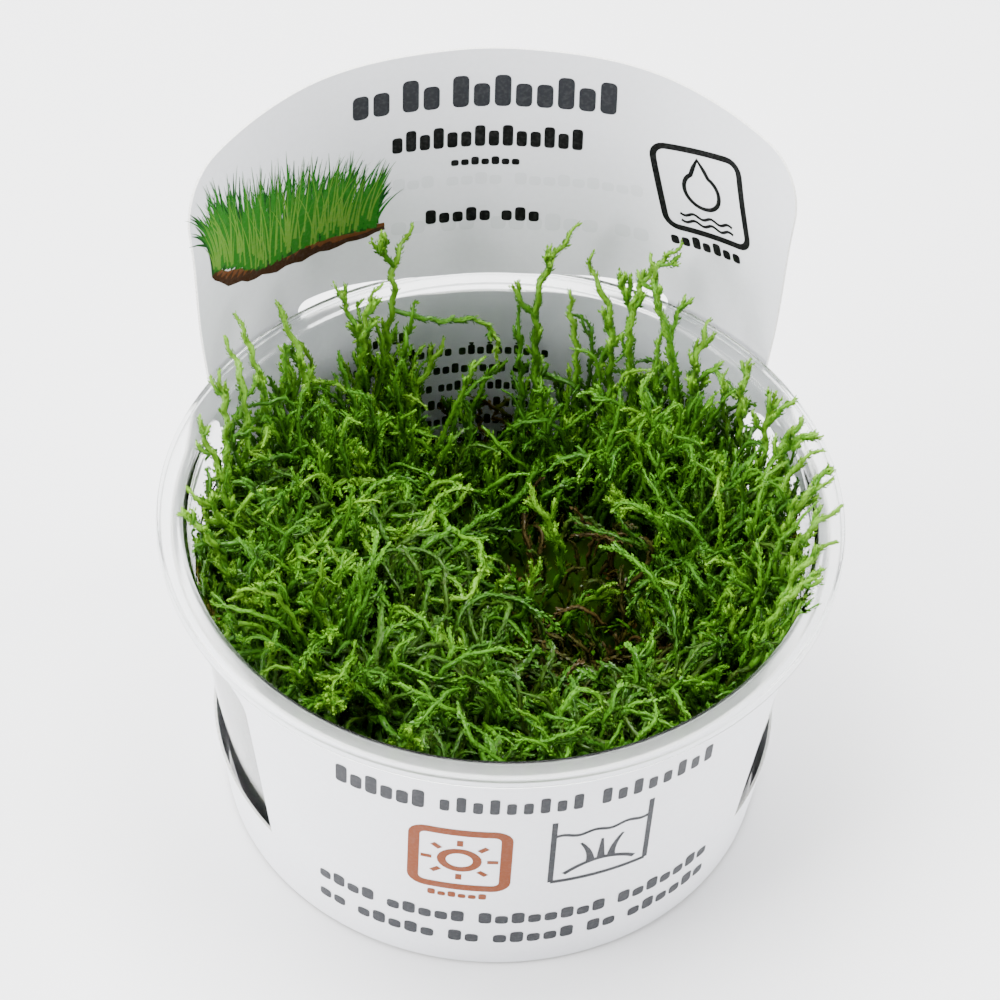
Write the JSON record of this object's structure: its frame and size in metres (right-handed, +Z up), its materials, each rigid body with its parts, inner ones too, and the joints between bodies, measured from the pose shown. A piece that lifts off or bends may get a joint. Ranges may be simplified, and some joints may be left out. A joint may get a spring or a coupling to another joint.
{
  "type": "tissue culture flame moss in a sleeved cup",
  "caption": "Tuft of flame moss from tissue culture in a clear tapered plastic cup with a rim, held in a white card sleeve with side windows and a raised tab behind.",
  "frame": {"origin": "middle of the flat underside of the cup, on the surface that it stands on", "axes": "+Z up along the axis of the cup, -Y towards the front panel of the sleeve, +Y towards its raised tab"},
  "size_m": [0.101, 0.1047, 0.098],
  "materials": {
    "clear_plastic": "polished",
    "white_card": "satin",
    "moss_dark": "matte",
    "moss_green": "satin"
  },
  "bodies": {
    "root": {"cup": "clear_plastic", "sleeve": "white_card", "moss_mat": "moss_dark", "moss_shoot_01": "moss_green", "moss_shoot_02": "moss_green", "moss_shoot_03": "moss_green", "moss_shoot_04": "moss_green", "moss_shoot_05": "moss_green", "moss_shoot_06": "moss_green", "moss_shoot_07": "moss_green", "moss_shoot_08": "moss_green", "moss_shoot_09": "moss_green", "moss_shoot_10": "moss_green", "moss_shoot_11": "moss_green", "moss_shoot_12": "moss_green", "moss_shoot_13": "moss_green", "moss_shoot_14": "moss_green", "moss_shoot_15": "moss_green", "moss_shoot_16": "moss_green", "moss_shoot_17": "moss_green", "moss_shoot_18": "moss_green", "moss_shoot_19": "moss_green", "moss_shoot_20": "moss_green", "moss_shoot_21": "moss_green", "moss_shoot_22": "moss_green", "moss_shoot_23": "moss_green", "moss_shoot_24": "moss_green", "moss_shoot_25": "moss_green", "moss_shoot_26": "moss_green", "moss_shoot_27": "moss_green", "moss_shoot_28": "moss_green", "moss_shoot_29": "moss_green", "moss_shoot_30": "moss_green", "moss_shoot_31": "moss_green", "moss_shoot_32": "moss_green", "moss_shoot_33": "moss_green", "moss_shoot_34": "moss_green", "moss_shoot_35": "moss_green", "moss_shoot_36": "moss_green", "moss_shoot_37": "moss_green", "moss_shoot_38": "moss_green", "moss_shoot_39": "moss_green", "moss_shoot_40": "moss_green", "moss_shoot_41": "moss_green", "moss_shoot_42": "moss_green"}
  },
  "joints": []
}
